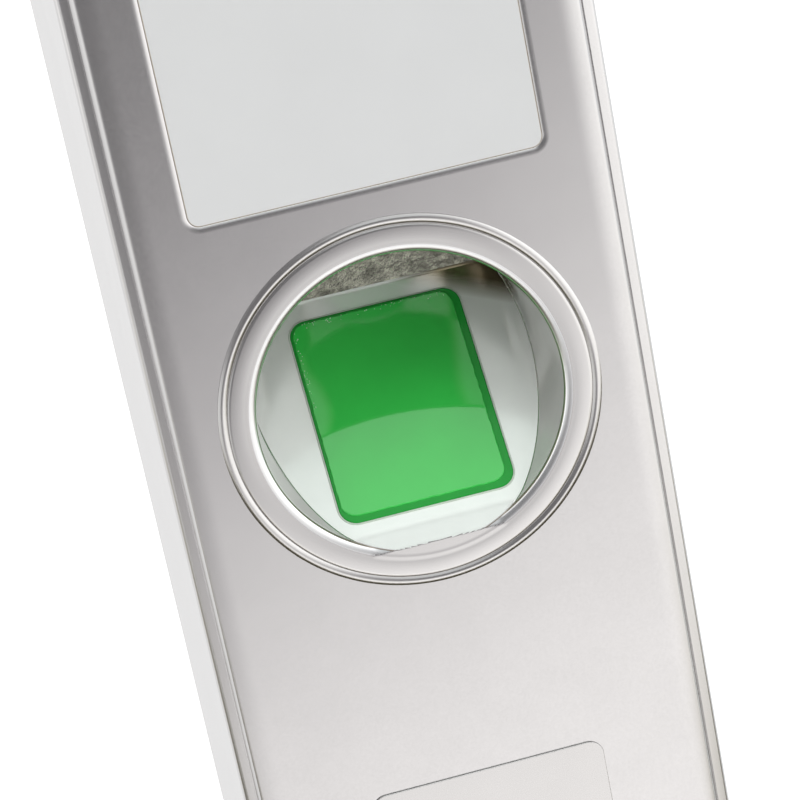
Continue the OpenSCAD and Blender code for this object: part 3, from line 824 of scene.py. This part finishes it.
def sealed_window(bm):
    """Opening for the glass in the sloping floor, with a bead of sealant round it."""
    window = Outline(0, 0, GLASS_W + 0.04, GLASS_L + 0.04, GLASS_R + 0.02, 8)
    bead_h = FLOOR_H + 0.10
    profile = [(0.17, FLOOR_H), (0.15, FLOOR_H + 0.05), (0.08, bead_h), (0, bead_h), (0, FLOOR_H - WALL_T)]
    return sweep(bm, window, profile, on_glass, SEALANT_SLOT)


def finger_guide():
    """Ring with its bead, groove and land, and the well behind it with its sloping floor."""
    bm = bmesh.new()
    angles = ring_angles()
    end, land = outside_loops(bm, angles)
    lip, tops = rolled_lip(bm, angles, land)
    feet = foot_depths(angles, tops)
    wall = bore_wall(bm, angles, lip, tops, feet)
    foot = bore_foot(bm, angles, wall, feet)
    inner_r = BORE_R - FILLET
    rim = floor_rim(bm, angles, foot, feet, inner_r)
    top, bottom = sealed_window(bm)
    levels = BEVEL_LEVELS + BACK_LEVELS
    slots = [FLOOR_SLOT] * len(levels) + [CAST_SLOT]
    stepped_bottom(bm, rim, angles, inner_r, levels, top, len(BEVEL_LEVELS), slots)
    stepped_bottom(bm, end, angles, TUBE_R, REAR_LEVELS, bottom, 1, [RING_SLOT] * 3)
    # Where the bevel runs out into the land, the well's faces have the ring's finish
    land_depth = LAND_CROWN + 0.012
    for face in bm.faces:
        of_well = face.material_index in (BORE_SLOT, FLOOR_SLOT, LIP_HIGHLIGHT_SLOT, LIP_SHADE_SLOT)
        if of_well and all(v.co.y - RING_Y <= land_depth for v in face.verts):
            face.material_index = RING_SLOT
    finishes = [SATIN_RING, POLISHED, CAST, WELL_FLOOR, LIP_HIGHLIGHT, LIP_SHADE, SEALANT]
    add_piece(bm, "finger_guide_ring", "housing", finishes, "finger_guide")


# ---------------------------------------------------------------- sensor glass

def sensor_glass():
    """Raised green glass with a soft rim, and the prism behind it."""
    bm = bmesh.new()
    outline = Outline(0, 0, GLASS_W, GLASS_L, GLASS_R, 10)
    rim = [(grow, -FILM_T - level) for grow, level in quarter(0.12, 0, steps=4)]
    top, back = sweep(bm, outline, rim + [(0, -GLASS_T)], on_glass)
    fill(bm, [top])
    fill(bm, [back])
    add_piece(bm, "sensor_glass_block", "housing", [GREEN], "sensor_prism")


def between(a, b, share):
    """Point at a share of the way from a to b, both (u, v)."""
    return (a[0] + (b[0] - a[0]) * share, a[1] + (b[1] - a[1]) * share)


def wavy_outline(margins, radius):
    """Slightly wavy loop of (u, v) inside the glass, set in by (left, right, bottom, top) margins."""
    left, right, bottom, top = margins
    width = GLASS_W - left - right
    height = GLASS_L - bottom - top
    shape = Outline((left - right) / 2, (bottom - top) / 2, width, height, radius, 10)
    middle = Vector((shape.x, shape.z, 0))
    corners = shape.points()
    shortest = 0.4
    loop = []
    for start, end in zip(corners, corners[1:] + corners[:1]):
        parts = max(int(math.dist(start, end) / shortest), 1)
        for i in range(parts):
            p = Vector((*between(start, end, i / parts), 0))
            wave = noise.noise(p * 1.3) * 0.10 + noise.noise(p * 4.1) * 0.035
            p += (p - middle).normalized() * wave
            loop.append((p.x, p.y))
    return loop


def resample(loop, count):
    """The same closed loop with count points, evenly spaced along it."""
    closed = loop + loop[:1]
    total = [0.0]
    for a, b in zip(closed, closed[1:]):
        total.append(total[-1] + math.dist(a, b))
    result = []
    k = 0
    for i in range(count):
        goal = total[-1] * i / count
        while total[k + 1] < goal:
            k += 1
        share = (goal - total[k]) / (total[k + 1] - total[k])
        result.append(between(closed[k], closed[k + 1], share))
    return result


def add_bubbles(bm):
    """Tiny bubbles caught under the coating along its top and left edges."""
    chance = random.Random(11)
    along_top, along_left = 52, 32
    for k in range(along_top + along_left):
        if k < along_top:
            u = chance.uniform(-7.8, 7.6)
            v = GLASS_L / 2 - 0.40 - 0.55 * chance.random() ** 2
        else:
            u = -GLASS_W / 2 + 0.36 + 0.4 * chance.random() ** 2
            v = chance.uniform(1.5, 10.8)
        place = Matrix.Translation(on_glass(u, v, 0.015))
        radius = chance.uniform(0.03, 0.06)
        made = bmesh.ops.create_icosphere(bm, subdivisions=1, radius=radius, matrix=place)
        for face in {f for vert in made["verts"] for f in vert.link_faces}:
            face.material_index = 1
            face.smooth = True


def sensor_film():
    """Clear coating on the glass: a flat top with a round edge that runs out unevenly."""
    points = 360
    edge = 0.12
    margins = (0.25, 0.78, 0.72, 0.30)
    outer = resample(wavy_outline(margins, 1.6), points)
    inner = resample(wavy_outline([m + edge for m in margins], 1.5), points)
    bm = bmesh.new()
    steps = 6
    loops = []
    for i in range(steps + 1):
        t = i / steps
        height = FILM_T * (math.sqrt(1 - (1 - t) ** 2) - 1)
        loops.append(add_loop(bm, [on_glass(*between(a, b, t), height) for a, b in zip(outer, inner)]))
    for a, b in zip(loops, loops[1:]):
        bridge(bm, a, b)
    fill(bm, [loops[-1]])
    add_bubbles(bm)
    add_piece(bm, "sensor_film_coat", "housing", [GREEN_FILM, BUBBLE], "sensor_film")


# ---------------------------------------------------------------- panel, label and light guides

def card_panel():
    """Plain inlay with two holes for the light guides."""
    bm = bmesh.new()
    outer = Outline(0, PANEL.centre.z, PANEL.size.x, PANEL.size.z, PANEL_R, 8)
    holes = [disc(side * PIPE_X, PIPE_Z, PIPE_R + 0.05, 10) for side in (-1, 1)]
    slab(bm, outer, holes, PANEL.low.y, PANEL.high.y, edge=0.08, side=1)
    add_piece(bm, "card_panel_cover", "housing", [PANEL_PLASTIC, PANEL_EDGE], "card_panel")


def light_guides():
    """Two clear domes in the panel, with a foot behind it."""
    bm = bmesh.new()
    dome_y = PANEL.low.y - 0.05
    back = PANEL.high.y
    dome_steps = 6
    profile = []
    for i in range(1, dome_steps + 1):
        a = math.pi / 2 * i / dome_steps
        profile.append((-PIPE_R * (1 - math.sin(a)), dome_y + 0.12 * (1 - math.cos(a))))
    profile += [(0, back), (0.7, back), (0.7, back + 0.5), (0.62, back + 0.6)]
    for side in (-1, 1):
        first, last = sweep(bm, disc(side * PIPE_X, PIPE_Z, PIPE_R, 10), profile)
        fill(bm, [first], smooth=True)
        fill(bm, [last])
    add_piece(bm, "light_guides", "housing", [CLEAR], "light_pipes")


def name_label():
    """Blank label, as a thin plate in its pocket."""
    bm = bmesh.new()
    outer = Outline(0, LABEL.centre.z, LABEL.size.x, LABEL.size.z, LABEL_R, 8)
    slab(bm, outer, [], LABEL.low.y, LABEL.high.y, edge=0.05, back_edge=0.02)
    add_piece(bm, "blank_label", "housing", [LABEL_METAL], "name_label")


# ---------------------------------------------------------------- CAD nodes with softened edges

def soften(node, body, slot, m, width):
    """Copy of a CAD node with its edges broken, to stand in for the node."""
    bm = bmesh.new()
    bm.from_mesh(NODES[node].data)
    bmesh.ops.scale(bm, vec=(1 / MM, 1 / MM, 1 / MM), verts=bm.verts)
    bmesh.ops.remove_doubles(bm, verts=bm.verts, dist=1e-4)
    bmesh.ops.dissolve_limit(bm, angle_limit=math.radians(0.5), verts=bm.verts, edges=bm.edges)
    # Faces of round stretches are smooth, flat ones aren't
    flat = math.radians(1)
    crease = math.radians(35)
    for face in bm.faces:
        bends = [e.calc_face_angle(0) for e in face.edges if len(e.link_faces) == 2]
        face.smooth = any(flat < bend < crease for bend in bends)
        face.material_index = 0
    edges = [e for e in bm.edges if len(e.link_faces) == 2 and e.calc_face_angle(0) > crease]
    made = bmesh.ops.bevel(bm, geom=edges, offset=width, segments=2, profile=0.5, affect="EDGES",
                           clamp_overlap=True)
    for face in made["faces"]:
        face.smooth = True
    add_piece(bm, node + "_body", body, [m], node)


def paint(node, m):
    """Gives a CAD node a procedural finish in its own slots."""
    slots = NODES[node].data.materials
    for i in range(len(slots)):
        slots[i] = m
    if len(slots) == 0:
        slots.append(m)


# Finish of each CAD node that no piece replaces
PAINTS = {
    "guide_clip": PRESSED, "panel_adhesive": TAPE, "status_leds": LED, "antenna_board": BOARD,
    "antenna_coil": COPPER, "antenna_screws": STEEL, "antenna_cable": IVORY, "sensor_gasket": RUBBER,
    "sensor_housing": BLACK, "sensor_screws": STEEL, "led_board": BOARD, "illumination_leds": LED,
    "camera_lens": BLACK, "camera_board": BOARD, "image_chip": CHIP, "ribbon_cable": AMBER,
    "ribbon_connectors": IVORY, "main_board": BOARD, "board_chips": CHIP, "board_screws": STEEL,
    "relay": BLUE, "buzzer": BLACK, "capacitors": CAN, "coin_cell": STEEL, "cell_holder": BLACK,
    "terminal_block": TERMINAL, "terminal_screws": STEEL, "tamper_switch": BLACK, "tamper_plunger": RED,
    "reset_switch": STEEL, "reset_button": BLACK, "housing_seal": RUBBER,
}

# Node, body, the record's material slot, finish, width of the broken edges
SOFTENED = [
    ("wall_plate", "wall_plate", "bright_steel", PRESSED, 0.15),
    ("rear_cover", "housing", "black_plastic", BLACK, 0.2),
    ("cable_grommet", "housing", "black_rubber", RUBBER, 0.2),
    ("cover_screws", "housing", "bright_steel", STEEL, 0.12),
    ("security_screw", "housing", "bright_steel", STEEL, 0.08),
]

add_camera()
add_world()
add_floor()
for node_name, finish in PAINTS.items():
    paint(node_name, finish)
front_cover()
finger_guide()
sensor_glass()
sensor_film()
card_panel()
light_guides()
name_label()
for arguments in SOFTENED:
    soften(*arguments)

bpy.context.scene.view_settings.view_transform = "Standard"
